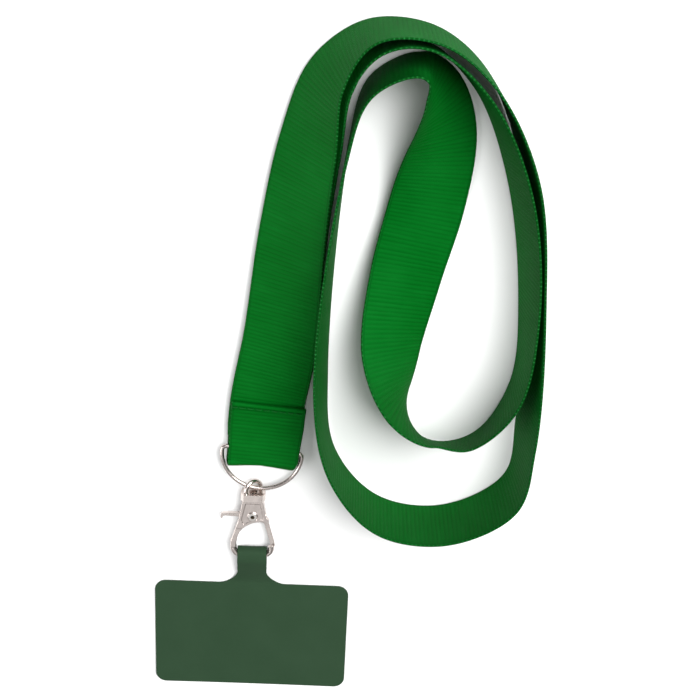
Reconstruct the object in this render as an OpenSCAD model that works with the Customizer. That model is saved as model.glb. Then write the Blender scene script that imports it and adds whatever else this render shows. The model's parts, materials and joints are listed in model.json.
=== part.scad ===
// Neck lanyard with a phone tether tab, laid out on a table.
// A flat ribbon lies in a double loop. Its ends are sewn round the bar of a
// D-ring, which carries a swivel snap hook, and the hook holds the tab.
// Millimetres. +X right, +Y from the tab towards the neck loop, +Z up from the table.

/* [Strap] */
// Width of the ribbon
strap_w = 25; // [23:0.5:25]
// Thickness of the ribbon
strap_t = 0.9; // [0.7:0.05:0.95]
// Length of the sewn flap above the ring bar
flap_len = 17.8; // [16:0.1:18]
// Length of the turned-under hem at the end of the flap
hem_len = 2.8; // [2:0.1:4]
// Length of one stitch
stitch_len = 2; // [1.2:0.1:2.4]
// Stitches in each row
stitch_count = 9; // [5:1:9]

/* [Ring] */
// Radius of the D-ring's bow, to the middle of the wire
ring_r = 13.6; // [13.6:0.1:14.4]
// Diameter of the ring wire
ring_wire_d = 1.45; // [1.2:0.05:1.5]
// Radius of the two corners beside the bar
ring_corner_r = 1.5; // [1.3:0.1:1.5]
// Turn of the ring and the strap end about Z
ring_turn = -4.5; // [-6:0.5:-3]

/* [Swivel] */
// Radius of the eye, to the middle of its wire
eye_r = 3.1; // [3:0.05:3.3]
// Diameter of the eye's wire
eye_wire_d = 1.5; // [1.3:0.05:1.6]
// Radius of the eye's collar
collar_r = 4.3; // [3.9:0.1:4.6]
// Radius of the swivel post
post_r = 1; // [0.9:0.02:1]

/* [Hook] */
// Thickness of the cast hook body
hook_t = 3; // [2.8:0.1:3.2]
// Diameter of the bow at the bottom of the hook
bow_d = 2.2; // [1.9:0.1:2.3]
// Thickness of the gate lever
gate_t = 1.2; // [1:0.05:1.25]
// Width of the gate's arm
gate_w = 1.6; // [1.4:0.1:1.7]
// Radius of the gate's rivet
rivet_r = 0.9; // [0.8:0.02:0.9]

/* [Tab] */
// Width of the phone tab
tab_w = 69.2; // [60:0.2:72]
// Height of the phone tab's panel
tab_h = 44; // [40:0.5:46]
// Thickness of the tab sheet
tab_t = 0.6; // [0.4:0.05:0.7]
// Width of the tab's neck
neck_w = 10.2; // [8:0.1:10.2]
// Radius of the panel's corners
tab_corner_r = 4; // [2:0.5:6]

/* [Hidden] */
$fn = 64;

// Heights and places shared by the metal parts
axis_z = 3;
hook_y = -1.5;
ring_x = 2.7;
ring_y = 39.4;

// The strap's route on the table: x, y, z and the ribbon's lean from upright, in degrees
ROUTE = [
    [3.2, 45.5, 3, -90], [4.2, 58.5, 3.1, -90], [7.8, 82.5, 6.7, -74], [10.9, 119.5, 9, -58],
    [15, 150.5, 10.9, -45], [20.2, 173.5, 12.5, -25], [33, 187, 13, -5], [52, 186.8, 13, 1],
    [68.5, 174.6, 13, 3], [82.6, 146.5, 13, 8], [88.6, 103.5, 13, 8], [90, 56, 13, 8],
    [86.8, 33, 13, 4], [66, 20, 13, 2], [43, 22.7, 13, 2], [27, 41, 13, 2], [21.8, 72, 13, 9],
    [27.3, 150.5, 13, 2], [32.8, 170, 13, 0], [44, 177.3, 13, -2], [49.5, 177.2, 13, -5],
    [53.2, 171.5, 12, -24], [56.2, 157, 8.3, -52], [53, 131.5, 3.2, -79],
    [47.6, 106.5, 4.4, -73], [44.3, 82.5, 8.8, -52], [47.4, 65.2, 12.5, -18],
    [57.8, 51.6, 12.3, 22], [71.5, 51.8, 12.6, 17], [84.6, 69.5, 13, 2], [86.8, 100.5, 13, -8],
    [80.5, 140.5, 13, -12], [67, 169.5, 13, -9], [50, 183.3, 13, -8], [36, 182.5, 13, -4],
    [23.4, 172.5, 12, 23], [16.4, 150.5, 9.2, 45], [11.4, 119.5, 7.3, 57], [8, 82.5, 3.7, 78],
    [4.2, 58.5, 1.98, 90]
];
route_steps = 2;

// Small clearances and overlaps
slack = 0.05;
sink = 0.1;

// ---------- ribbon swept along the route ----------

function spot(p) = [p[0], p[1], p[2]];
function unit(v) = v / norm(v);
function gap(a, b) = sqrt(norm(spot(b) - spot(a)));
function mix(a, b, ta, tb, t) = (a * (tb - t) + b * (t - ta)) / (tb - ta);

// One point on the smooth curve between b and c
function curve_at(a, b, c, d, u) =
    let (
        tb = gap(a, b),
        tc = tb + gap(b, c),
        td = tc + gap(c, d),
        t = tb + (tc - tb) * u,
        ab = mix(a, b, 0, tb, t),
        bc = mix(b, c, tb, tc, t),
        cd = mix(c, d, tc, td, t)
    )
    mix(mix(ab, bc, 0, tc, t), mix(bc, cd, tb, td, t), tb, tc, t);

function with_ends(route) =
    let (last = len(route) - 1)
    concat([2 * route[0] - route[1]], route, [2 * route[last] - route[last - 1]]);

function curve_points(p) = concat(
    [for (i = [1 : len(p) - 3]) for (k = [0 : route_steps - 1])
        curve_at(p[i - 1], p[i], p[i + 1], p[i + 2], k / route_steps)],
    [p[len(p) - 2]]
);

// Four corners of the ribbon's section at one point of the curve
function section_at(points, i) =
    let (
        before = points[max(i - 1, 0)],
        after = points[min(i + 1, len(points) - 1)],
        along = unit(spot(after) - spot(before)),
        side = unit([-along[1], along[0], 0]),
        lean = points[i][3],
        rough = cos(lean) * [0, 0, 1] + sin(lean) * side,
        across = unit(rough - (rough * along) * along),
        out = cross(along, across),
        a = across * strap_w / 2,
        b = out * strap_t / 2,
        c = spot(points[i])
    )
    [c + a + b, c + a - b, c - a - b, c - a + b];

module neck_strap() {
    points = curve_points(with_ends(ROUTE));
    rings = len(points);
    corners = [for (i = [0 : rings - 1]) each section_at(points, i)];
    // Both wide faces are split along the same diagonal, so a twisted length keeps its thickness
    sides = [for (i = [0 : rings - 2]) for (k = [0 : 3])
        let (a = 4 * i + k, b = 4 * i + (k + 1) % 4)
        each (k == 3 ? [[a, b, a + 4], [b, b + 4, a + 4]] : [[a, b, b + 4], [a, b + 4, a + 4]])];
    ends = [[3, 2, 1, 0], [for (k = [0 : 3]) 4 * (rings - 1) + k]];
    color("forestgreen")
    polyhedron(points = corners, faces = concat(sides, ends));
}

// ---------- strap end and D-ring ----------

// Children are drawn with the ring bar's middle at the origin, +Y up the strap
module at_ring_bar() {
    translate([ring_x, ring_y, axis_z])
    rotate([0, 0, ring_turn])
    translate([0, ring_corner_r, 0])
    children();
}

// A profile drawn in Y and Z, run along X
module run_along_x(width) {
    rotate([90, 0, 90])
    linear_extrude(height = width, center = true)
    children();
}

fold_y = -4.6;
fold_in_r = ring_wire_d / 2 + 0.225;
fold_out_r = fold_in_r + strap_t;
taper_start = 1;
taper_end = 3.5;
layer_in = strap_t / 2 + 0.03;
layer_out = layer_in + strap_t;
hem_top = layer_in + 1.8 * strap_t;

// Side view of a loop: a round bend at fold_y, a taper, then two flat sides out to the end points
function bend(r) = [for (a = [90 : 15 : 270]) [fold_y + r * cos(a), r * sin(a)]];
function loop_points(r, half_t, end_points) = concat(
    bend(r),
    [[taper_start, -r], [taper_end, -half_t]],
    end_points,
    [[taper_end, half_t], [taper_start, r]]
);

module fold_profile() {
    hem_start = flap_len - hem_len;
    round_off = 0.4;
    hem_points = [
        [flap_len, -layer_out], [flap_len, hem_top - round_off], [flap_len - round_off, hem_top],
        [hem_start + round_off, hem_top], [hem_start, hem_top - round_off], [hem_start, layer_out]
    ];
    open_end = flap_len + 1;
    difference() {
        polygon(loop_points(fold_out_r, layer_out, hem_points));
        polygon(loop_points(fold_in_r, layer_in, [[open_end, -layer_in], [open_end, layer_in]]));
    }
}

// Plan of the folded end: a little narrower between the ring's corners
module fold_plan() {
    low_w = strap_w - 1;
    low_y = fold_y - fold_out_r;
    step_y = 2;
    corner = 2.5;
    translate([-low_w / 2 + corner, low_y]) square([low_w - 2 * corner, 2 * corner]);
    translate([-low_w / 2, low_y + corner]) square([low_w, step_y + 1 - low_y - corner]);
    for (s = [-1, 1]) translate([s * (low_w / 2 - corner), low_y + corner]) circle(r = corner);
    polygon([
        [-low_w / 2, step_y], [low_w / 2, step_y], [strap_w / 2, step_y + 1], [strap_w / 2, flap_len],
        [-strap_w / 2, flap_len], [-strap_w / 2, step_y + 1]
    ]);
}

module strap_end_fold() {
    color("green")
    at_ring_bar()
    intersection() {
        run_along_x(strap_w + 2) fold_profile();
        linear_extrude(height = 8, center = true) fold_plan();
    }
}

stitch_w = 0.4;
stitch_pitch = 2.7;
stitch_up = 0.2;

module stitch() {
    half = (stitch_len - stitch_w) / 2;
    linear_extrude(height = sink + stitch_up) {
        square([2 * half, stitch_w], center = true);
        for (s = [-1, 1]) translate([s * half, 0]) circle(d = stitch_w, $fn = 24);
    }
}

module stitch_row(y, z, turn) {
    for (i = [0 : stitch_count - 1])
        translate([(i - (stitch_count - 1) / 2) * stitch_pitch, y, z])
        rotate([turn, 0, 0])
        translate([0, 0, -sink])
        stitch();
}

module fold_stitching() {
    hem_row = flap_len - 1.8;
    color("darkgreen")
    at_ring_bar() {
        stitch_row(hem_row, hem_top, 0);
        stitch_row(hem_row, -layer_out, 180);
    }
}

module wire_arc(bend_r, wire_d, from, sweep) {
    rotate([0, 0, from])
    rotate_extrude(angle = sweep)
    translate([bend_r, 0]) circle(d = wire_d);
}

module wire_straight(length, wire_d) {
    rotate([0, 90, 0]) cylinder(d = wire_d, h = length, center = true);
}

module d_ring() {
    corner_x = ring_r - ring_corner_r;
    color("silver")
    translate([ring_x, ring_y, axis_z])
    rotate([0, 0, ring_turn]) {
        translate([0, ring_corner_r, 0]) wire_straight(2 * corner_x, ring_wire_d);
        translate([corner_x, 0, 0]) wire_arc(ring_corner_r, ring_wire_d, 0, 90);
        translate([-corner_x, 0, 0]) wire_arc(ring_corner_r, ring_wire_d, 90, 90);
        wire_arc(ring_r, ring_wire_d, 180, 180);
    }
}

// ---------- swivel ----------

collar_y = 23;
collar_h = 2.8;
eye_y = collar_y + collar_h + 1;
eye_tilt = 38;

// Children are drawn with +Z along the hook's length and the origin at the swivel's axis
module along_hook(y) {
    translate([0, hook_y + y, axis_z]) rotate([-90, 0, 0]) children();
}

module swivel_eye() {
    flat_z = 2.9;
    color("gainsboro")
    difference() {
        union() {
            intersection() {
                along_hook(collar_y) cylinder(r = collar_r, h = collar_h);
                translate([-collar_r, hook_y + collar_y, axis_z - flat_z])
                cube([2 * collar_r, collar_h, 2 * flat_z]);
            }
            translate([0, hook_y + eye_y, axis_z])
            rotate([0, eye_tilt, 0])
            wire_arc(eye_r, eye_wire_d, 0, 360);
        }
        along_hook(collar_y - 1) cylinder(r = post_r + slack, h = collar_h + 1);
        along_hook(collar_y + collar_h - 0.05) cylinder(r = 1.7, h = 1.6);
    }
}

module swivel_post() {
    seat = collar_h + slack;
    // The head is a low dome, so that the ring's wire clears it
    dome_r = 2.2;
    dome_sunk = 1.67;
    shank_base = 20.5;
    color("lightgray") {
        along_hook(shank_base) cylinder(r = post_r, h = collar_y - shank_base + seat + 0.2);
        difference() {
            along_hook(collar_y + seat - dome_sunk) sphere(r = dome_r);
            along_hook(collar_y + seat - 2 * dome_r) cylinder(r = 3, h = 2 * dome_r);
        }
    }
}

// ---------- hook body and gate ----------

pivot = [0, 16.5];
nose = [6.6, 3.3];
bow_corner_r = 3;
slot_t = 2;
gate_z = axis_z - 0.9;
knee = [4.6, 14.2];
gate_tip = [6.95, 5.6];
// The gate's tip sweeps this far from the pivot, and the nose is cut back to clear it
sweep_r = norm(gate_tip - pivot) + gate_w / 2 + 0.12;

module on_hook_plane(z) {
    translate([0, hook_y, z]) children();
}

module body_outline() {
    difference() {
        polygon([
            [-3.5, 22.8], [3.5, 22.8], [4.9, 15], [4.9, 12.6], [-1, 10], [-5, 6.6], [-5.7, 6],
            [-5.7, 3.7], [-7.45, 3.7], [-7.45, 6.2], [-4.9, 14.8]
        ]);
        translate([3, 6]) circle(r = 8.4);
    }
}

// The gap between the body's two cheeks, where the gate lever turns
module gate_slot() {
    translate(pivot) circle(r = 2.5);
    polygon([[-6, 14.9], [-6, 20.4], [0, 19], [0, 15]]);
    polygon([[-1.5, 12], [-2.5, 16.5], [0, 19], [3.4, 18.2], [6.5, 15.6], [6.5, 11]]);
}

// The raised rim is left standing round this hollow in each face
module face_hollow() {
    difference() {
        polygon([[-2.5, 21.6], [2.5, 21.6], [3.9, 15.2], [3.9, 14.6], [-3.2, 13.2], [-3.9, 15.2]]);
        translate([3, 6]) circle(r = 9.3);
        translate(pivot) circle(r = 1.7);
    }
}

module nose_cut() {
    intersection() {
        translate(pivot) circle(r = sweep_r);
        translate([4.6, 2]) square([4, 5]);
    }
}

module hook_bow() {
    base_y = nose[1] - bow_corner_r;
    corner_x = nose[0] - bow_corner_r;
    translate([0, base_y, 0]) wire_straight(2 * corner_x, bow_d);
    translate([corner_x, nose[1], 0]) wire_arc(bow_corner_r, bow_d, 270, 90);
    translate([-corner_x, nose[1], 0]) wire_arc(bow_corner_r, bow_d, 180, 90);
    translate([-nose[0], nose[1], 0]) rotate([-90, 0, 0]) cylinder(d = bow_d, h = 3.2);
    translate([nose[0], nose[1], 0]) rotate([-90, 0, 0]) cylinder(d = bow_d, h = 1);
    translate([nose[0], nose[1] + 0.7, 0]) rotate([-90, 0, 0]) cylinder(r = 1.3, h = 1.7);
}

module hook_body() {
    hollow_deep = 0.2;
    arm_top = 11.5;
    arm_t = 2.4;
    color("silver")
    difference() {
        union() {
            on_hook_plane(axis_z - hook_t / 2) linear_extrude(height = hook_t) body_outline();
            on_hook_plane(axis_z) hook_bow();
        }
        on_hook_plane(axis_z - slot_t / 2) linear_extrude(height = slot_t) gate_slot();
        for (s = [-1, 1]) on_hook_plane(axis_z + s * hook_t / 2)
            linear_extrude(height = 2 * hollow_deep, center = true) face_hollow();
        for (s = [-1, 1]) on_hook_plane(axis_z + s * (arm_t / 2 + 1))
            linear_extrude(height = 2, center = true)
            translate([-9, 2]) square([8, arm_top - 2]);
        on_hook_plane(axis_z - hook_t)
            linear_extrude(height = 2 * hook_t)
            translate(pivot) circle(r = rivet_r + 0.02);
        on_hook_plane(axis_z - hook_t)
            linear_extrude(height = 2 * hook_t)
            nose_cut();
        along_hook(19) cylinder(r = post_r + 0.02, h = 5);
    }
}

// Outline of a flat bar with round ends, from a to b
function bar_points(a, b, width) =
    let (step = b - a, turn = atan2(step[1], step[0]), r = width / 2)
    concat(
        [for (d = [-90 : 15 : 90]) b + r * [cos(turn + d), sin(turn + d)]],
        [for (d = [90 : 15 : 270]) a + r * [cos(turn + d), sin(turn + d)]]
    );

module gate_lever() {
    color("gainsboro")
    on_hook_plane(gate_z)
    linear_extrude(height = gate_t)
    difference() {
        union() {
            translate(pivot) circle(r = 2.1);
            polygon(bar_points(pivot, knee, gate_w + 0.6));
            polygon(bar_points(knee, gate_tip, gate_w));
            polygon([
                [0, 17.4], [-10.3, 17], [-11.1, 16.4], [-11.2, 14.9], [-10.6, 14.8],
                [-10.2, 15.7], [-9.6, 15.9], [0, 15.6]
            ]);
        }
        translate(pivot) circle(r = rivet_r + slack);
    }
}

module gate_rivet() {
    head_h = 0.35;
    head_r = 1.5;
    reach = hook_t / 2;
    color("lightgray")
    translate([pivot[0], hook_y + pivot[1], axis_z])
    difference() {
        union() {
            cylinder(r = rivet_r, h = 2 * reach, center = true);
            for (s = [-1, 1]) translate([0, 0, s * (reach + head_h / 2 + 0.02)])
                cylinder(r = head_r, h = head_h, center = true);
            cylinder(r = rivet_r, h = 2 * reach + 0.2, center = true);
        }
        for (s = [-1, 1]) translate([0, 0, s * (reach + head_h + 0.55)]) sphere(r = 0.75);
    }
}

module gate_spring() {
    spring_z = axis_z + 0.63;
    coil_r = 1.35;
    wire_d = 0.44;
    short_leg = 0.8;
    long_leg = 1.6;
    color("dimgray")
    translate([pivot[0], hook_y + pivot[1], spring_z])
    rotate([0, 0, 180]) {
        wire_arc(coil_r, wire_d, 90, 270);
        translate([short_leg / 2, coil_r, 0]) wire_straight(short_leg, wire_d);
        translate([coil_r, long_leg / 2, 0]) rotate([0, 0, 90]) wire_straight(long_leg, wire_d);
    }
}

// ---------- phone tab ----------

tab_low = -13.6 - tab_h;
loop_y = 1.05;
loop_in_r = 1.75;

// Side view of the sheet: flat panel, neck over the bow and back down onto the panel
module tab_profile() {
    back = axis_z - loop_in_r - tab_t;
    front = axis_z + loop_in_r;
    foot = -13.5;
    difference() {
        union() {
            translate([loop_y, axis_z]) circle(r = loop_in_r + tab_t);
            polygon([
                [loop_y, front + tab_t], [-1.2, front + tab_t], [-11, 2 * tab_t], [foot, tab_t],
                [tab_low, tab_t], [tab_low, 0], [-3, 0], [-1.2, back], [loop_y, back]
            ]);
        }
        translate([loop_y, axis_z]) circle(r = loop_in_r);
        polygon([
            [loop_y, front], [-1.2, front], [-10.6, tab_t], [-3, tab_t],
            [-1.2, back + tab_t], [loop_y, back + tab_t]
        ]);
    }
}

module tab_plan() {
    panel_top = tab_low + tab_h;
    corner = [tab_w / 2 - tab_corner_r, tab_h / 2 - tab_corner_r];
    middle = tab_low + tab_h / 2;
    fillet = 7;
    square_at = neck_w / 2 + fillet;
    translate([-corner[0], tab_low]) square([2 * corner[0], tab_h]);
    translate([-tab_w / 2, middle - corner[1]]) square([tab_w, 2 * corner[1]]);
    for (sx = [-1, 1]) for (sy = [-1, 1])
        translate([sx * corner[0], middle + sy * corner[1]]) circle(r = tab_corner_r);
    translate([-neck_w / 2, tab_low + 5]) square([neck_w, 5 - tab_low]);
    difference() {
        translate([-square_at, panel_top - 1]) square([2 * square_at, fillet + 1]);
        for (s = [-1, 1]) translate([s * square_at, panel_top + fillet]) circle(r = fillet);
    }
}

module phone_tab() {
    color("darkslategray")
    translate([0, hook_y, 0])
    intersection() {
        run_along_x(tab_w + 2) tab_profile();
        linear_extrude(height = 12, center = true) tab_plan();
    }
}

neck_strap();
strap_end_fold();
fold_stitching();
d_ring();
swivel_eye();
swivel_post();
hook_body();
gate_lever();
gate_rivet();
gate_spring();
phone_tab();
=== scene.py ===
"""Looks of a neck lanyard with a phone tether tab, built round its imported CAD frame."""
import json
import math

import bmesh
import bpy
import numpy as np
from mathutils import Matrix, Vector


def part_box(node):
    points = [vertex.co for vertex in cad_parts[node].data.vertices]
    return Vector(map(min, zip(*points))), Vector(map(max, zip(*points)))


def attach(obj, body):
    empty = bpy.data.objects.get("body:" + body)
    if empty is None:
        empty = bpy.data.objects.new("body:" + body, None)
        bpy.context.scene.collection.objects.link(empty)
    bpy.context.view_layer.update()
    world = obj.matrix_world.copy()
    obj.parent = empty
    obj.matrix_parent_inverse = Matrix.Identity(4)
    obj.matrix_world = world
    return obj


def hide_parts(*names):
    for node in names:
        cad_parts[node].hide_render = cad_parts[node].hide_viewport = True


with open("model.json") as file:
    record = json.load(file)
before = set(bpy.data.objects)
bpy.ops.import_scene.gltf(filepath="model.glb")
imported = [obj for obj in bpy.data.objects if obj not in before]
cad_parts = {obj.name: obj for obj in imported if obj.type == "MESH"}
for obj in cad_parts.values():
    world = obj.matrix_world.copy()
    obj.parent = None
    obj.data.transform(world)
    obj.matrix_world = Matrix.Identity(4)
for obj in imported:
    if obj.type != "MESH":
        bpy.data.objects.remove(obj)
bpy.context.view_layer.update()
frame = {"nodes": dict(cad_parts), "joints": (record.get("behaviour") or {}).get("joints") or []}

MM = 0.001
WELD_DISTANCE = 0.000002  # points nearer than this are one point
UP = np.array((0.0, 0.0, 1.0))


def joint(name):
    return next(j for j in frame["joints"] if j["name"] == name)


# Places that the frame's joints fix: the ring's bar, the middle of its bow, the gate's rivet, the hook's bow
BAR_AT = np.array(joint("ring_swing")["pos_m"])
BAR_ALONG = np.array(joint("ring_swing")["axis"])
STRAP_UP = np.array((-BAR_ALONG[1], BAR_ALONG[0], 0.0))
RING_CENTRE = np.array(joint("eye_slide")["pos_m"])
GATE_AT = joint("gate")["pos_m"]
BOW_AT = np.array(joint("tab_swing")["pos_m"])

# ---------- camera ----------

CAMERA_AT = Vector((0.02195, 0.28495, 0.44409))
CAMERA_TARGET = Vector((0.03099, 0.07806, 0.0))
CAMERA_UP = Vector((-0.0395, 0.9054, -0.4226))
SENSOR_MM = 36.0
LENS_MM = 76.1


def make_camera():
    data = bpy.data.cameras.new("camera")
    data.sensor_width = SENSOR_MM
    data.lens = LENS_MM
    data.clip_start = 0.01
    data.clip_end = 10.0
    camera = bpy.data.objects.new("camera", data)
    bpy.context.scene.collection.objects.link(camera)
    back = (CAMERA_AT - CAMERA_TARGET).normalized()
    right = CAMERA_UP.cross(back).normalized()
    up = back.cross(right)
    turn = Matrix((right, up, back)).transposed().to_4x4()
    camera.matrix_world = Matrix.Translation(CAMERA_AT) @ turn
    bpy.context.scene.camera = camera


# ---------- meshes from sections swept along a line ----------

def unit(v):
    return v / np.linalg.norm(v, axis=-1, keepdims=True)


def distances(points):
    """Distance along a line of points, from its start."""
    return np.concatenate([[0.0], np.cumsum(np.linalg.norm(np.diff(points, axis=0), axis=1))])


def resample(values, at, new_at):
    return np.stack([np.interp(new_at, at, values[:, k]) for k in range(values.shape[1])], axis=1)


def add_object(name, verts, faces, material, uv=None):
    """A smooth-shaded mesh object from arrays. uv, if given, is one (u, v) for each vertex."""
    mesh = bpy.data.meshes.new(name)
    mesh.from_pydata(verts.tolist(), [], faces)
    mesh.update()
    mesh.polygons.foreach_set("use_smooth", [True] * len(mesh.polygons))
    if uv is not None:
        layer = mesh.uv_layers.new(name="weave")
        index = np.zeros(len(mesh.loops), np.int32)
        mesh.loops.foreach_get("vertex_index", index)
        layer.data.foreach_set("uv", np.asarray(uv, np.float32)[index].ravel())
    mesh.materials.append(material)
    obj = bpy.data.objects.new(name, mesh)
    bpy.context.scene.collection.objects.link(obj)
    return obj


def tube_faces(rings, around, closed=False):
    """Quads between rings of points, capped at both ends unless the tube closes on itself."""
    i, k = np.meshgrid(np.arange(rings if closed else rings - 1), np.arange(around), indexing="ij")
    i, k = i.ravel(), k.ravel()
    j, m = (i + 1) % rings, (k + 1) % around
    quads = np.stack([i * around + k, j * around + k, j * around + m, i * around + m], axis=1)
    faces = quads.tolist()
    if not closed:
        faces.append(list(range(around)))
        faces.append([(rings - 1) * around + k for k in reversed(range(around))])
    return faces


# ---------- ribbon ----------

# The strap's route in metres, with the ribbon's lean from upright in degrees, as part.scad has it
ROUTE = np.array([
    (0.0032, 0.0455, 0.003, -90), (0.0042, 0.0585, 0.0031, -90), (0.0078, 0.0825, 0.0067, -74),
    (0.0109, 0.1195, 0.009, -58), (0.015, 0.1505, 0.0109, -45), (0.0202, 0.1735, 0.0125, -25),
    (0.033, 0.187, 0.013, -5), (0.052, 0.1868, 0.013, 1), (0.0685, 0.1746, 0.013, 3),
    (0.0826, 0.1465, 0.013, 8), (0.0886, 0.1035, 0.013, 8), (0.09, 0.056, 0.013, 8),
    (0.0868, 0.033, 0.013, 4), (0.066, 0.02, 0.013, 2), (0.043, 0.0227, 0.013, 2),
    (0.027, 0.041, 0.013, 2), (0.0218, 0.072, 0.013, 9), (0.0273, 0.1505, 0.013, 2),
    (0.0328, 0.17, 0.013, 0), (0.044, 0.1773, 0.013, -2), (0.0495, 0.1772, 0.013, -5),
    (0.0532, 0.1715, 0.012, -24), (0.0562, 0.157, 0.0083, -52), (0.053, 0.1315, 0.0032, -79),
    (0.0476, 0.1065, 0.0044, -73), (0.0443, 0.0825, 0.0088, -52), (0.0474, 0.0652, 0.0125, -18),
    (0.0578, 0.0516, 0.0123, 22), (0.0715, 0.0518, 0.0126, 17), (0.0846, 0.0695, 0.013, 2),
    (0.0868, 0.1005, 0.013, -8), (0.0805, 0.1405, 0.013, -12), (0.067, 0.1695, 0.013, -9),
    (0.05, 0.1833, 0.013, -8), (0.036, 0.1825, 0.013, -4), (0.0234, 0.1725, 0.012, 23),
    (0.0164, 0.1505, 0.0092, 45), (0.0114, 0.1195, 0.0073, 57), (0.008, 0.0825, 0.0037, 78),
    (0.0042, 0.0585, 0.00198, 90),
])
RIBBON_WIDTH = 0.025
RIBBON_THICK = 0.0008

# The fold's line in side view: distance up the strap from the bar, and height from the bar
FOLD_LOW = 0.00093
FOLD_LOOP = 0.0014
FOLD_END = 0.0046
FLAP_LENGTH = 0.0178
FLAP_SHIFT = 0.0006
HEM_UP = 0.00166
HEM_FOLD = 0.0004


def curve_through(points, steps):
    """A centripetal Catmull-Rom curve through rows of x, y, z and any further columns."""
    rows = np.vstack([2 * points[0] - points[1], points, 2 * points[-1] - points[-2]])
    out = []
    for i in range(1, len(rows) - 2):
        a, b, c, d = rows[i - 1:i + 3]
        tb = np.linalg.norm((b - a)[:3]) ** 0.5
        tc = tb + np.linalg.norm((c - b)[:3]) ** 0.5
        td = tc + np.linalg.norm((d - c)[:3]) ** 0.5
        for k in range(steps):
            t = tb + (tc - tb) * k / steps
            ab = (a * (tb - t) + b * t) / tb
            bc = (b * (tc - t) + c * (t - tb)) / (tc - tb)
            cd = (c * (td - t) + d * (t - tc)) / (td - tc)
            left = (ab * (tc - t) + bc * t) / tc
            right = (bc * (td - t) + cd * (t - tb)) / (td - tb)
            out.append((left * (tc - t) + right * (t - tb)) / (tc - tb))
    out.append(points[-1])
    return np.array(out)


def arc(centre, radius, start, stop, steps):
    """Points (y, z) on an arc, angles in degrees."""
    angles = np.radians(np.linspace(start, stop, steps))
    return [(centre[0] + radius * math.cos(a), centre[1] + radius * math.sin(a)) for a in angles]


def fold_side_view():
    """The fold's line: under the strap to the bar, round it, and back on top to the hem."""
    low, loop, hem = FOLD_LOW, FOLD_LOOP, FLAP_LENGTH - HEM_FOLD
    line = [(hem - 0.001, -low), (0.0130, -low), (0.0100, -low), (0.0065, -low), (0.0038, -low)]
    line += [(0.0030, -low - 0.00006), (0.0014, -loop + 0.00006), (0.0006, -loop), (-0.0022, -loop)]
    line += arc((-FOLD_END, 0.0), loop, 270, 90, 17)
    line += [(-0.0022, loop), (0.0006, loop), (0.0014, loop - 0.00006), (0.0030, low + 0.00006)]
    line += [(0.0038, low), (0.0070, low), (0.0110, low), (hem - 0.0030, low), (hem - 0.0022, low + 0.0002)]
    line += [(hem - 0.0016, HEM_UP - 0.0001), (hem - 0.001, HEM_UP)]
    line += arc((hem, HEM_UP - HEM_FOLD), HEM_FOLD, 90, -90, 9)
    line += [(hem - 0.0008, HEM_UP - 2 * HEM_FOLD), (hem - 0.0016, HEM_UP - 2 * HEM_FOLD)]
    return np.array(line)


def ribbon_line():
    """Centre points and unit vectors across the ribbon, from the tucked end to the hem."""
    route = curve_through(ROUTE, ROUTE_STEPS)
    along = unit(np.gradient(route[:, :3], axis=0))
    side = unit(np.stack([-along[:, 1], along[:, 0], 0 * along[:, 0]], axis=1))
    lean = np.radians(route[:, 3:4])
    across = np.cos(lean) * UP + np.sin(lean) * side
    fold = fold_side_view()
    turned = np.clip((fold[:, 1] + FOLD_LOOP) / (2 * FOLD_LOOP), 0, 1)
    turned = np.maximum.accumulate(turned)[:, None]
    fold_points = BAR_AT + fold[:, :1] * STRAP_UP + fold[:, 1:] * UP
    fold_points = fold_points + FLAP_SHIFT * turned * BAR_ALONG
    fold_across = np.tile(BAR_ALONG, (len(fold), 1))
    return np.vstack([route[:, :3], fold_points]), np.vstack([across, fold_across])


# How finely the route is followed, and how often its line and its lean are eased
ROUTE_STEPS = 24
CENTRE_PASSES = 6
ACROSS_PASSES = 60

# The weave as geometry: ribs across the ribbon, a plain selvedge, and a bead of dots along its edge
RIB_PITCH = 0.00142
RIB_SAMPLES = 4
RIB_HEIGHT = 0.0001
RIB_ROUNDNESS = 0.6
SELVEDGE = 0.0009
SELVEDGE_BLEND = 0.00025
SELVEDGE_DROP = 0.00005
DOT_HEIGHT = 0.00006
BEAD_AT = 0.0002
RIM_LEAST = 0.95
RIM_SWELL = 0.12
WAVE_HEIGHT = 0.00012
WAVE_LENGTH = 0.031

# How the ribbon narrows to fit between the ring's corners
FOLD_HALF_WIDTH = 0.012
FOLD_LEFT_CORNER_R = 0.001
FOLD_RIGHT_CORNER_R = 0.0034
FOLD_TAPER = 0.009
FOLD_REACH = 0.01

# Distances in from the edge at which the section has its points
COLUMN_INSETS = np.array((0.0, 0.2, 0.45, 0.7, 1.1, 5.0)) * MM


def smoothed(values, passes):
    """A line of points with its corners eased, ends kept."""
    out = values.copy()
    for _ in range(passes):
        out[1:-1] = 0.25 * out[:-2] + 0.5 * out[1:-1] + 0.25 * out[2:]
    return out


def half_width(centre, corner_r):
    """One side's half-width at each section. It draws in where the ribbon turns round the ring."""
    up = (centre - BAR_AT) @ STRAP_UP
    in_fold = np.abs((centre - BAR_AT) @ BAR_ALONG) < FOLD_REACH
    from_end = np.clip(up + FOLD_END + FOLD_LOOP, 0, None)
    short = np.clip(corner_r - from_end, 0, corner_r)
    corner = corner_r - np.sqrt(corner_r ** 2 - short ** 2)
    drawn = (FOLD_HALF_WIDTH - RIBBON_WIDTH / 2) * np.clip((FOLD_TAPER - up) / FOLD_TAPER, 0, 1)
    return RIBBON_WIDTH / 2 + in_fold * (drawn - corner)


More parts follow.
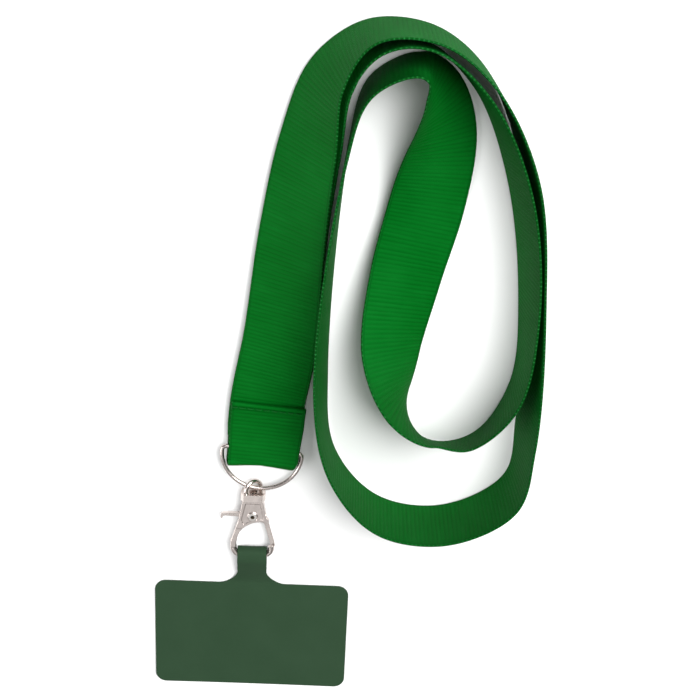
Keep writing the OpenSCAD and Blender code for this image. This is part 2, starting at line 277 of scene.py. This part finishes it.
def ribbon_mesh(material):
    """The ribbon as one closed tube of flat section, and its length from end to end."""
    centre, across = ribbon_line()
    s = distances(centre)
    at = np.arange(0.0, s[-1], RIB_PITCH / RIB_SAMPLES)
    centre = smoothed(resample(centre, s, at), CENTRE_PASSES)
    across = unit(smoothed(resample(across, s, at), ACROSS_PASSES))
    along = unit(np.gradient(centre, axis=0))
    across = unit(across - (across * along).sum(1, keepdims=True) * along)
    out = np.cross(along, across)

    edge_r = RIBBON_THICK / 2
    full = RIBBON_WIDTH / 2 - edge_r
    columns = np.concatenate([COLUMN_INSETS - full, [0.0], full - COLUMN_INSETS[::-1]])
    left_side = (half_width(centre, FOLD_LEFT_CORNER_R) - edge_r)[:, None]
    right_side = (half_width(centre, FOLD_RIGHT_CORNER_R) - edge_r)[:, None]
    phase = at / RIB_PITCH
    rib = (np.abs(np.sin(math.pi * phase)) ** RIB_ROUNDNESS)[:, None]
    dot = (0.5 + 0.5 * np.cos(2 * math.pi * phase))[:, None]
    inset = (full - np.abs(columns))[None, :]
    body = np.clip((inset - SELVEDGE + edge_r) / SELVEDGE_BLEND, 0, 1)
    bead = np.exp(-((inset - BEAD_AT) / BEAD_AT) ** 2)
    rise = RIB_HEIGHT * (rib - 1) * body + DOT_HEIGHT * dot * bead - SELVEDGE_DROP * (1 - body)
    wave = WAVE_HEIGHT * np.sin(at[:, None] / WAVE_LENGTH + 2.0 * columns[None, :] / full)

    def at_section(a, b):
        return centre[:, None, :] + a[..., None] * across[:, None, :] + b[..., None] * out[:, None, :]

    turn = np.radians((45, 0, -45))[None, :]
    rim = edge_r * (RIM_LEAST + RIM_SWELL * dot)
    face_a = columns[None, :] / full * np.where(columns[None, :] < 0, left_side, right_side)
    right_a = right_side + rim * np.cos(turn)
    left_a = -left_side - rim * np.cos(turn[:, ::-1])
    edge_b = edge_r * np.sin(turn) + 0 * rim
    top = at_section(face_a, edge_r + rise + wave)
    right = at_section(right_a, edge_b + wave[:, -1:])
    bottom = at_section(face_a[:, ::-1], -edge_r - rise[:, ::-1] + wave[:, ::-1])
    left = at_section(left_a, edge_b[:, ::-1] + wave[:, :1])
    verts = np.concatenate([top, right, bottom, left], axis=1)
    u = np.concatenate([columns, right_a[0], columns[::-1], left_a[0]]) / MM
    uv = np.stack(np.broadcast_arrays(u[None, :], phase[:, None]), axis=-1).reshape(-1, 2)
    faces = tube_faces(len(at), verts.shape[1])
    return add_object("neck_ribbon", verts.reshape(-1, 3), faces, material, uv=uv), float(at[-1])


# ---------- thread ----------

def tube(name, lines, radius, sides, material):
    """Round thread along each of the lines, as one object."""
    verts, faces = [], []
    for line in lines:
        line = np.asarray(line, float)
        along = unit(np.gradient(line, axis=0))
        start = np.cross(along[0], UP)
        if np.linalg.norm(start) < 0.1:
            start = np.cross(along[0], (0.0, 1.0, 0.0))
        side = unit(start)
        rings = []
        for p, t in zip(line, along):
            side = unit(side - (side @ t) * t)
            up = np.cross(t, side)
            a = np.linspace(0, 2 * math.pi, sides, endpoint=False)[:, None]
            rings.append(p + radius * (np.cos(a) * side + np.sin(a) * up))
        base = sum(len(v) for v in verts)
        verts.append(np.concatenate(rings))
        faces += [[base + k for k in f] for f in tube_faces(len(line), sides)]
    return add_object(name, np.concatenate(verts), faces, material)


STITCHES = 9
STITCH_PITCH = 0.0027
STITCH_LENGTH = 0.0021
THREAD_R = 0.00016
THREAD_SIDES = 10
STITCH_RISE = 0.00016
STITCH_DIP = 0.00055
STITCH_ROW_IN = 0.0018


def stitch_line(x, y, z, outward):
    """One stitch: out of the cloth, over it, and back in."""
    line = []
    for k in np.linspace(-1, 1, 11):
        height = STITCH_RISE - STITCH_DIP * abs(k) ** 5
        line.append(BAR_AT + (x + k * STITCH_LENGTH / 2) * BAR_ALONG + y * STRAP_UP
                    + (z + outward * height) * UP)
    return line


def stitching(material):
    """A row of stitches on the hem and the same row on the underside."""
    row = FLAP_LENGTH - STITCH_ROW_IN
    cloth = RIBBON_THICK / 2
    lines = []
    for z, outward in ((HEM_UP + cloth, 1), (-FOLD_LOW - cloth, -1)):
        for i in range(STITCHES):
            lines.append(stitch_line((i - (STITCHES - 1) / 2) * STITCH_PITCH, row, z, outward))
    return tube("sewing_thread", lines, THREAD_R, THREAD_SIDES, material)


# ---------- D-ring ----------

RING_R = 0.0136
RING_CORNER_R = 0.0015
RING_WIRE_R = 0.000725
RING_SIDES = 28


def ring_wire(material):
    """Round wire along the D's closed line: bow, corner, bar, corner."""
    corner_x = RING_R - RING_CORNER_R
    flat = arc((0, 0), RING_R, 180, 360, 97)
    flat += arc((corner_x, 0), RING_CORNER_R, 0, 90, 17)[1:]
    flat += [(x, RING_CORNER_R) for x in np.linspace(corner_x, -corner_x, 49)[1:-1]]
    flat += arc((-corner_x, 0), RING_CORNER_R, 90, 180, 17)[:-1]
    flat = np.array(flat)
    line = RING_CENTRE + flat[:, :1] * BAR_ALONG + flat[:, 1:] * STRAP_UP
    along = unit(np.roll(line, -1, axis=0) - np.roll(line, 1, axis=0))
    out = np.cross(along, UP)
    a = np.linspace(0, 2 * math.pi, RING_SIDES, endpoint=False)
    verts = (line[:, None, :] + RING_WIRE_R * (np.cos(a)[None, :, None] * out[:, None, :]
             + np.sin(a)[None, :, None] * UP))
    faces = tube_faces(len(line), len(a), closed=True)
    return add_object("ring_wire", verts.reshape(-1, 3), faces, material)


# ---------- phone tab ----------

TAB_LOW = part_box("phone_tab")[0].y
TAB_W = 0.0692
TAB_H = 0.044
TAB_T = 0.0006
TAB_CORNER_R = 0.004
NECK_W = 0.0102
NECK_FILLET_R = 0.007
LOOP_R = 0.00205
LOOP_AHEAD = 0.00075
TAB_EDGE_R = 0.00015
TAB_LINE_STEP = 0.00015
TAB_PASSES = 8
PANEL_STEP = 0.002
NECK_STEP = 0.0003
PANEL_BOW = 0.00025


def tab_side_view():
    """The sheet's line in side view, from the panel's far edge over the bow and back under itself."""
    mid = TAB_T / 2
    top = TAB_LOW + TAB_H
    loop = (BOW_AT[1] + LOOP_AHEAD, BOW_AT[2])
    line = [(TAB_LOW, mid), (TAB_LOW + 0.01, mid), (top - 0.006, mid), (top - 0.001, mid + 0.00002)]
    line += [(top + 0.001, mid + 0.0001), (top + 0.0028, mid + 0.0006), (top + 0.0048, mid + 0.0014)]
    line += [(loop[0] - 0.0030, loop[1] + LOOP_R - 0.0002), (loop[0] - 0.0018, loop[1] + LOOP_R)]
    line += arc(loop, LOOP_R, 90, -90, 13)
    line += [(loop[0] - 0.0016, loop[1] - LOOP_R + 0.00002), (loop[0] - 0.0026, mid + 0.0005)]
    line += [(loop[0] - 0.0040, mid + 0.0001), (loop[0] - 0.0060, mid), (loop[0] - 0.0105, mid)]
    return smoothed(resample_evenly(np.array(line), TAB_LINE_STEP), TAB_PASSES)


def resample_evenly(points, step):
    s = distances(points)
    return resample(points, s, np.linspace(0, s[-1], int(s[-1] / step) + 1))


def tab_outline(length):
    """The flat cut of the sheet: panel, fillets and neck strip. Origin at the middle of the far edge."""
    half, r, neck = TAB_W / 2, TAB_CORNER_R, NECK_W / 2
    right = arc((half - r, r), r, -90, 0, 13) + arc((half - r, TAB_H - r), r, 0, 90, 13)
    right += arc((neck + NECK_FILLET_R, TAB_H + NECK_FILLET_R), NECK_FILLET_R, 270, 180, 17)
    right += arc((neck - 0.001, length - 0.001), 0.001, 0, 90, 5)
    return right + [(-x, y) for x, y in reversed(right)]


def slice_across(cut, point, normal):
    """Adds a line of edges where a plane crosses the mesh, so that it can bend there."""
    parts = cut.verts[:] + cut.edges[:] + cut.faces[:]
    bmesh.ops.bisect_plane(cut, geom=parts, plane_co=point, plane_no=normal)


def tab_sheet(material):
    """The tab: its flat cut, filled and sliced finely, then bent onto its side view."""
    view = tab_side_view()
    s = distances(view)
    curve = bpy.data.curves.new("tab_cut", "CURVE")
    curve.dimensions = "2D"
    curve.fill_mode = "BOTH"
    curve.extrude = TAB_T / 2 - TAB_EDGE_R
    curve.bevel_depth = TAB_EDGE_R
    curve.bevel_resolution = 3
    curve.offset = -TAB_EDGE_R
    outline = tab_outline(s[-1])
    spline = curve.splines.new("POLY")
    spline.points.add(len(outline) - 1)
    for point, (x, y) in zip(spline.points, outline):
        point.co = (x, y, 0, 1)
    spline.use_cyclic_u = True
    holder = bpy.data.objects.new("tab_cut", curve)
    bpy.context.scene.collection.objects.link(holder)
    mesh = bpy.data.meshes.new_from_object(holder)
    bpy.data.objects.remove(holder)
    cut = bmesh.new()
    cut.from_mesh(mesh)
    bmesh.ops.remove_doubles(cut, verts=cut.verts, dist=WELD_DISTANCE)
    rows = np.concatenate([np.arange(PANEL_STEP, TAB_H, PANEL_STEP), np.arange(TAB_H, s[-1], NECK_STEP)])
    for y in rows:
        slice_across(cut, (0, y, 0), (0, 1, 0))
    for x in np.arange(-0.034, 0.0341, PANEL_STEP):
        slice_across(cut, (x, 0, 0), (1, 0, 0))
    layer = cut.loops.layers.uv.new("weave")
    for face in cut.faces:
        face.smooth = True
        for corner in face.loops:
            corner[layer].uv = (corner.vert.co.x / MM, corner.vert.co.y / MM)
    for vert in cut.verts:
        x, along, up = vert.co
        vert.co = tab_place(view, s, x, along, up)
    cut.to_mesh(mesh)
    cut.free()
    mesh.materials.clear()
    mesh.materials.append(material)
    sheet = bpy.data.objects.new("tab_sheet", mesh)
    bpy.context.scene.collection.objects.link(sheet)
    return sheet, s[-1]


def tab_place(view, s, x, along, up):
    """Bends one point of the flat cut onto the side view, with a slight natural bow in the panel."""
    y = np.interp(along, s, view[:, 0])
    z = np.interp(along, s, view[:, 1])
    ahead, behind = min(along + 0.0002, s[-1]), max(along - 0.0002, 0.0)
    dy = np.interp(ahead, s, view[:, 0]) - np.interp(behind, s, view[:, 0])
    dz = np.interp(ahead, s, view[:, 1]) - np.interp(behind, s, view[:, 1])
    size = math.hypot(dy, dz)
    lift = PANEL_BOW * (x / (TAB_W / 2)) ** 2 * (1 - min(along / TAB_H, 1)) ** 2
    return Vector((x, y - up * dz / size, z + up * dy / size + lift))


# ---------- materials ----------

NOISE_ROUGHNESS = 0.55


class Nodes:
    """A material's node tree, with short calls for the nodes used here."""

    def __init__(self, name, material=None):
        self.material = material or bpy.data.materials.new(name)
        self.material.use_nodes = True
        self.tree = self.material.node_tree
        self.shader = self.tree.nodes["Principled BSDF"]

    def add(self, kind, **settings):
        node = self.tree.nodes.new("ShaderNode" + kind)
        for key, value in settings.items():
            setattr(node, key, value)
        return node

    def put(self, target, value):
        """Sets a socket to a number or colour, or links it to another socket."""
        if isinstance(value, bpy.types.NodeSocket):
            self.tree.links.new(value, target)
        else:
            target.default_value = value

    def math(self, operation, a, b=0.0):
        node = self.add("Math", operation=operation)
        self.put(node.inputs[0], a)
        self.put(node.inputs[1], b)
        return node.outputs[0]

    def noise(self, vector, scale, detail=3.0):
        node = self.add("TexNoise")
        self.put(node.inputs["Vector"], vector)
        self.put(node.inputs["Scale"], scale)
        self.put(node.inputs["Detail"], detail)
        self.put(node.inputs["Roughness"], NOISE_ROUGHNESS)
        return node.outputs["Fac"]

    def span(self, value, low, high, to_low=0.0, to_high=1.0, smooth=False):
        node = self.add("MapRange", interpolation_type="SMOOTHSTEP" if smooth else "LINEAR")
        self.put(node.inputs["Value"], value)
        for key, number in (("From Min", low), ("From Max", high), ("To Min", to_low), ("To Max", to_high)):
            self.put(node.inputs[key], number)
        return node.outputs[0]

    def mix(self, factor, a, b):
        node = self.add("Mix", data_type="RGBA")
        self.put(node.inputs["Factor"], factor)
        self.put(node.inputs[6], a)
        self.put(node.inputs[7], b)
        return node.outputs[2]

    def scaled(self, vector, scale):
        node = self.add("Mapping")
        self.put(node.inputs["Vector"], vector)
        node.inputs["Scale"].default_value = scale
        return node.outputs[0]

    def bump(self, height, distance, strength):
        node = self.add("Bump")
        self.put(node.inputs["Height"], height)
        node.inputs["Distance"].default_value = distance
        node.inputs["Strength"].default_value = strength
        return node.outputs[0]

    def finish(self, **inputs):
        for key, value in inputs.items():
            self.put(self.shader.inputs[key.replace("_", " ")], value)
        return self.material


# Ribbon colours. The groove colour is painted shade: the ribbon is darker in its rib grooves than on the rib
# crowns.
RIBBON_CROWN = (0.0006, 0.09, 0.0068, 1)
RIBBON_GROOVE_SHADE = (0.0003, 0.052, 0.0032, 1)
RIBBON_FADED = (0.003, 0.128, 0.014, 1)
# Painted shade for the selvedge: its groove line and the gaps between its dots.
SELVEDGE_SHADE = (0.0003, 0.034, 0.0024, 1)
# Painted glints on the selvedge's dots.
SELVEDGE_GLINT = (0.02, 0.15, 0.036, 1)
RIBBON_TINT = (0.08, 1.0, 0.22, 1)
WARP_PITCH_MM = 0.24


def ribbon_material():
    """Satin polyester grosgrain: ribs across with painted shade in their grooves, fine warp ends along, and a
    dotted selvedge with painted glints on its dots and a painted shade line along it.

    The glint is stretched across the ribbon, as it is on warp threads that run along it.
    """
    n = Nodes("green_grosgrain")
    uv = n.add("UVMap", uv_map="weave").outputs[0]
    split = n.add("SeparateXYZ")
    n.put(split.inputs[0], uv)
    across, ribs = split.outputs[0], split.outputs[1]
    place = n.add("TexCoord").outputs["Object"]
    ridge = n.math("ABSOLUTE", n.math("SINE", n.math("MULTIPLY", ribs, math.pi)))
    crown = n.math("POWER", ridge, 0.5)
    inset = n.math("SUBTRACT", RIBBON_WIDTH / 2 / MM, n.math("ABSOLUTE", across))
    ends = n.math("SINE", n.math("MULTIPLY", across, 2 * math.pi / WARP_PITCH_MM))
    fibre = n.noise(n.scaled(uv, (9.0, 0.9, 1.0)), 2.2, 4.0)
    blotch = n.noise(place, 38.0, 3.0)
    slub = n.noise(n.scaled(uv, (0.06, 1.4, 1.0)), 1.0, 2.0)
    # Painted shade across each rib: darker towards the groove, lighter on the crown.
    lit = n.math("MULTIPLY", crown, n.span(fibre, 0.3, 0.75, 0.72, 1.0))
    colour = n.mix(lit, RIBBON_GROOVE_SHADE, RIBBON_CROWN)
    colour = n.mix(n.span(blotch, 0.42, 0.72, 0.0, 0.35), colour, RIBBON_FADED)
    colour = n.mix(n.span(slub, 0.5, 0.8, 0.0, 0.35), colour, RIBBON_FADED)
    # A painted shade line in the groove between the face and the selvedge.
    selvedge_groove_shade = n.math("MULTIPLY", n.span(inset, 0.55, 0.8, smooth=True), n.span(inset, 1.15, 0.85, smooth=True))
    colour = n.mix(n.math("MULTIPLY", selvedge_groove_shade, 0.6), colour, SELVEDGE_SHADE)
    # Painted glints on the selvedge's dots, with painted shade between them.
    dots = n.math("COSINE", n.math("MULTIPLY", ribs, 2 * math.pi))
    dot_glints = n.math("MULTIPLY", n.span(dots, 0.3, 1.0), n.span(slub, 0.3, 0.6, 0.4, 1.0))
    bead = n.mix(dot_glints, SELVEDGE_SHADE, SELVEDGE_GLINT)
    colour = n.mix(n.span(inset, 0.5, 0.3), colour, bead)
    height = n.math("ADD", n.math("MULTIPLY", ends, 0.3), fibre)
    tangent = n.add("Tangent", direction_type="UV_MAP", uv_map="weave").outputs[0]
    return n.finish(Base_Color=colour, Roughness=n.span(fibre, 0.2, 0.8, 0.48, 0.62),
                    Normal=n.bump(height, 0.00004, 0.5), Tangent=tangent, Specular_IOR_Level=0.12,
                    Specular_Tint=RIBBON_TINT, Anisotropic=0.85)


def thread_material():
    """Plied sewing thread, with painted shade between its plies."""
    n = Nodes("green_thread")
    place = n.add("TexCoord").outputs["Object"]
    ply = n.noise(n.scaled(place, (1.0, 3.0, 1.0)), 2600.0, 3.0)
    # Painted shade: the thread is darker in a fine pattern between its plies.
    colour = n.mix(n.span(ply, 0.35, 0.65), (0.001, 0.045, 0.005, 1), (0.004, 0.12, 0.016, 1))
    return n.finish(Base_Color=colour, Roughness=n.span(ply, 0.3, 0.7, 0.35, 0.6),
                    Normal=n.bump(ply, 0.00006, 0.6), Specular_IOR_Level=0.08)


METAL_CLOUDS = 260.0
METAL_GRAIN = 3600.0
METAL_HAIRLINES = 1980.0
EDGE_WEAR = 0.5


def nickel_material(name, colour, rough):
    """Nickel plate: cloudy polish, fine hairlines, painted shade in its hollows, and brighter rubbed edges.
    """
    n = Nodes(name)
    place = n.add("TexCoord").outputs["Object"]
    cloud = n.noise(place, METAL_CLOUDS, 4.0)
    fine = n.noise(place, METAL_GRAIN, 3.0)
    lines = n.noise(n.scaled(place, (1.0, 0.06, 1.0)), METAL_HAIRLINES, 2.0)
    edge = n.span(n.add("NewGeometry").outputs["Pointiness"], 0.52, 0.6)
    # Painted shade: hollows are darkened towards the dull tone.
    hollow_shade = n.span(n.add("NewGeometry").outputs["Pointiness"], 0.47, 0.38)
    dull = tuple(0.62 * c for c in colour[:3]) + (1,)
    bright = tuple(min(1.0, 1.22 * c) for c in colour[:3]) + (1,)
    tone = n.mix(n.span(cloud, 0.35, 0.68, 0.0, 0.45), colour, dull)
    tone = n.mix(n.math("MULTIPLY", hollow_shade, 0.6), tone, dull)
    tone = n.mix(n.math("MULTIPLY", edge, EDGE_WEAR), tone, bright)
    uneven = n.span(n.math("ADD", cloud, n.math("MULTIPLY", lines, 0.5)), 0.5, 1.0, rough * 0.75, rough * 1.4)
    normal = n.bump(n.math("ADD", fine, n.math("MULTIPLY", lines, 1.2)), 0.000012, 0.35)
    return n.finish(Base_Color=tone, Metallic=1.0, Roughness=uneven, Normal=normal)


def rivet_material():
    """Nickel rivet with painted shade in its dimple."""
    material = nickel_material("rivet_nickel", (0.8, 0.76, 0.72, 1), 0.2)
    n = Nodes("rivet_nickel", material)
    at = n.add("VectorMath", operation="SUBTRACT")
    n.put(at.inputs[0], n.add("TexCoord").outputs["Object"])
    at.inputs[1].default_value = GATE_AT
    flat = n.add("VectorMath", operation="MULTIPLY")
    n.put(flat.inputs[0], at.outputs[0])
    flat.inputs[1].default_value = (1, 1, 0)
    far = n.add("VectorMath", operation="LENGTH")
    n.put(far.inputs[0], flat.outputs[0])
    # Painted shade: the dimple in the rivet's middle is painted dark.
    dimple_shade = n.span(far.outputs["Value"], 0.0008, 0.0006, smooth=True)
    plate = n.shader.inputs["Base Color"].links[0].from_socket
    n.put(n.shader.inputs["Base Color"], n.mix(dimple_shade, plate, (0.03, 0.022, 0.014, 1)))
    return material


def spring_material():
    """Bare drawn wire."""
    n = Nodes("spring_wire")
    place = n.add("TexCoord").outputs["Object"]
    drawn = n.noise(place, 1500.0, 3.0)
    colour = n.mix(drawn, (0.16, 0.15, 0.15, 1), (0.42, 0.41, 0.4, 1))
    return n.finish(Base_Color=colour, Metallic=1.0, Roughness=n.span(drawn, 0.3, 0.7, 0.25, 0.5),
                    Normal=n.bump(drawn, 0.00002, 0.4))


TAB_GREEN = (0.0178, 0.043, 0.0203, 1)
TAB_LIGHT = (0.024, 0.053, 0.027, 1)
TAB_DARK = (0.0124, 0.0313, 0.0146, 1)
WEAVE_PITCH_MM = 0.5


def tab_material():
    """Matt coated cloth with its fine plain weave just showing through."""
    n = Nodes("matt_green_cloth")
    uv = n.add("UVMap", uv_map="weave").outputs[0]
    split = n.add("SeparateXYZ")
    n.put(split.inputs[0], uv)
    place = n.add("TexCoord").outputs["Object"]
    thread = 2 * math.pi / WEAVE_PITCH_MM
    weft = n.math("SINE", n.math("MULTIPLY", split.outputs[0], thread))
    warp = n.math("SINE", n.math("MULTIPLY", split.outputs[1], thread))
    weave = n.math("MULTIPLY", weft, warp)
    mottle = n.noise(place, 55.0, 4.0)
    fine = n.noise(place, 1900.0, 3.0)
    colour = n.mix(n.span(mottle, 0.35, 0.7, 0.0, 0.55), TAB_GREEN, TAB_LIGHT)
    colour = n.mix(n.span(weave, 0.2, -1.0, 0.0, 0.3), colour, TAB_DARK)
    colour = n.mix(n.span(fine, 0.4, 0.8, 0.0, 0.3), colour, TAB_LIGHT)
    normal = n.bump(n.math("ADD", weave, n.math("MULTIPLY", fine, 1.6)), 0.00004, 0.35)
    return n.finish(Base_Color=colour, Roughness=n.span(mottle, 0.3, 0.7, 0.7, 0.82), Normal=normal,
                    Specular_IOR_Level=0.1, Sheen_Weight=0.02, Sheen_Roughness=0.5)


# ---------- metal parts kept from the frame ----------

def cast(node, material, voxel, passes):
    """Softens a CAD node's edges as casting and plating do, and gives it its metal."""
    part = frame["nodes"][node]
    part.data.materials.clear()
    part.data.materials.append(material)
    weld = part.modifiers.new("join", "WELD")
    weld.merge_threshold = WELD_DISTANCE
    remesh = part.modifiers.new("skin", "REMESH")
    remesh.mode = "VOXEL"
    remesh.voxel_size = voxel
    remesh.use_smooth_shade = True
    soft = part.modifiers.new("soften", "SMOOTH")
    soft.factor = 0.5
    soft.iterations = passes


# ---------- floor and light ----------

FLOOR_HALF = 3.0
FLOOR_DROP = 0.0002


def floor():
    """A pale matt sheet under the object, just below it so that the two do not share a plane."""
    mesh = bpy.data.meshes.new("floor")
    corners = [(x * FLOOR_HALF, y * FLOOR_HALF, 0) for x, y in ((-1, -1), (1, -1), (1, 1), (-1, 1))]
    mesh.from_pydata(corners, [], [(0, 1, 2, 3)])
    obj = bpy.data.objects.new("floor", mesh)
    obj.location.z = -FLOOR_DROP
    bpy.context.scene.collection.objects.link(obj)
    n = Nodes("white_paper")
    place = n.add("TexCoord").outputs["Object"]
    tone = n.mix(n.noise(place, 8.0, 4.0), (0.8, 0.8, 0.8, 1), (0.83, 0.83, 0.83, 1))
    mesh.materials.append(n.finish(Base_Color=tone, Roughness=0.9, Specular_IOR_Level=0.1))


def area_light(name, at, target, size, power):
    data = bpy.data.lights.new(name, "AREA")
    data.shape = "RECTANGLE"
    data.size, data.size_y = size
    data.energy = power
    light = bpy.data.objects.new(name, data)
    light.location = at
    aim = Vector(target) - Vector(at)
    light.rotation_euler = aim.to_track_quat("-Z", "Y").to_euler()
    bpy.context.scene.collection.objects.link(light)


def studio_world():
    """Soft white all round, dimmer towards the horizon so that metal has something to show."""
    world = bpy.data.worlds.new("studio")
    world.use_nodes = True
    tree = world.node_tree
    place = tree.nodes.new("ShaderNodeTexCoord")
    split = tree.nodes.new("ShaderNodeSeparateXYZ")
    ramp = tree.nodes.new("ShaderNodeValToRGB")
    ramp.color_ramp.elements[0].position = 0.05
    ramp.color_ramp.elements[0].color = (0.22, 0.22, 0.22, 1)
    ramp.color_ramp.elements[1].position = 0.75
    ramp.color_ramp.elements[1].color = (1, 1, 1, 1)
    tree.links.new(place.outputs["Generated"], split.inputs[0])
    tree.links.new(split.outputs["Z"], ramp.inputs[0])
    tree.links.new(ramp.outputs[0], tree.nodes["Background"].inputs["Color"])
    tree.nodes["Background"].inputs["Strength"].default_value = 0.28
    bpy.context.scene.world = world


def lights():
    middle = (0.03, 0.08, 0)
    area_light("key", (0.42, 0.52, 0.8), middle, (0.7, 0.7), 18.0)
    area_light("top", (0.1, 0.2, 0.95), middle, (0.7, 0.7), 1.0)
    area_light("fill", (-0.65, -0.15, 0.5), middle, (0.5, 0.5), 4.0)
    area_light("front", (-0.05, -0.45, 0.75), middle, (0.5, 0.5), 0.45)
    studio_world()
    bpy.context.scene.view_settings.view_transform = "Standard"


# ---------- the whole object ----------

make_camera()

ribbon_green = ribbon_material()
ribbon, ribbon_length = ribbon_mesh(ribbon_green)
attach(ribbon, "strap")
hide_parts("neck_strap", "strap_end_fold")

thread = stitching(thread_material())
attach(thread, "strap")
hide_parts("fold_stitching")

wire = ring_wire(nickel_material("ring_nickel", (0.6, 0.535, 0.505, 1), 0.24))
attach(wire, "ring")
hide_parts("d_ring")

hook_nickel = nickel_material("hook_nickel", (0.7, 0.625, 0.59, 1), 0.28)
eye_nickel = nickel_material("eye_nickel", (0.76, 0.68, 0.64, 1), 0.2)
# The post's nickel is painted dark: painted shade inside the swivel eye.
post_nickel_painted_shade = nickel_material("post_nickel_painted_shade", (0.3, 0.225, 0.2, 1), 0.16)
gate_nickel = nickel_material("gate_nickel", (0.7, 0.63, 0.595, 1), 0.25)
cast("hook_body", hook_nickel, 0.00009, 8)
cast("swivel_eye", eye_nickel, 0.00007, 6)
cast("swivel_post", post_nickel_painted_shade, 0.00006, 4)
cast("gate_lever", gate_nickel, 0.00007, 6)
cast("gate_rivet", rivet_material(), 0.00005, 2)
cast("gate_spring", spring_material(), 0.00004, 3)

tab, tab_length = tab_sheet(tab_material())
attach(tab, "tab")
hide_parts("phone_tab")

floor()
lights()
